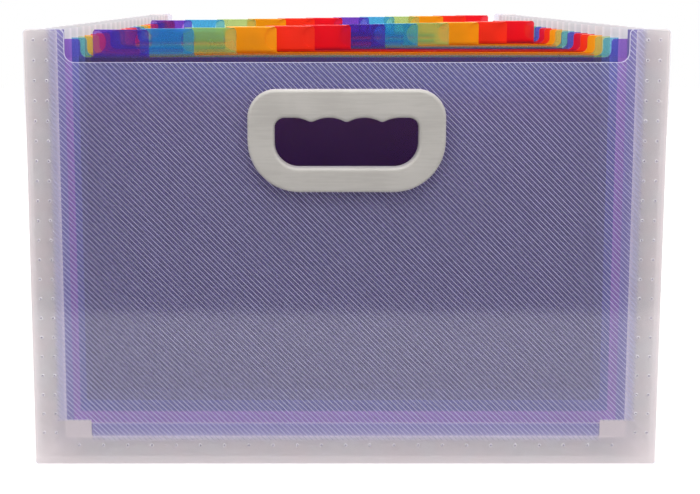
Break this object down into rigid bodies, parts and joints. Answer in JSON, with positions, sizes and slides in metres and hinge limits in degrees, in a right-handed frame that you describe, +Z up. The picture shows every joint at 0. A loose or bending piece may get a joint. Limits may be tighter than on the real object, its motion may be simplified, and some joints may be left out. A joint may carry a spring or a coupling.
{
  "type": "expanding file folder",
  "caption": "Expanding file folder: frosted covers, a pleated gusset, coloured tabbed dividers and a hand grip.",
  "frame": {"origin": "middle of the footprint, on the surface that the folder stands on", "axes": "+X across the folder to the right seen from the front cover, +Y from the front cover to the back cover, +Z up"},
  "size_m": [0.37, 0.608, 0.258],
  "materials": {
    "cover_sheet": "frosted clear plastic sheet with fine diagonal ribs",
    "gusset_film": "frosted clear plastic film, pleated",
    "grip_moulding": "pale grey moulded plastic with a faint grain",
    "sheet_violet": "translucent violet plastic sheet",
    "sheet_blue": "translucent blue plastic sheet",
    "sheet_green": "translucent green plastic sheet",
    "sheet_orange": "translucent orange plastic sheet",
    "sheet_coral": "translucent coral plastic sheet",
    "sheet_red": "translucent red plastic sheet"
  },
  "bodies": {
    "root": {"front_cover": "cover_sheet", "back_cover": "cover_sheet", "gusset": "gusset_film", "grip_frame": "grip_moulding", "grip_backing": "grip_moulding", "divider_01": "sheet_violet", "divider_02": "sheet_blue", "divider_03": "sheet_green", "divider_04": "sheet_orange", "divider_05": "sheet_coral", "divider_06": "sheet_red", "divider_07": "sheet_violet", "divider_08": "sheet_blue", "divider_09": "sheet_green", "divider_10": "sheet_orange", "divider_11": "sheet_coral", "divider_12": "sheet_red", "divider_13": "sheet_violet", "divider_14": "sheet_blue", "divider_15": "sheet_green", "divider_16": "sheet_orange", "divider_17": "sheet_coral", "divider_18": "sheet_red", "divider_19": "sheet_violet", "divider_20": "sheet_blue", "divider_21": "sheet_green", "divider_22": "sheet_orange", "divider_23": "sheet_coral", "divider_24": "sheet_red"}
  },
  "joints": []
}
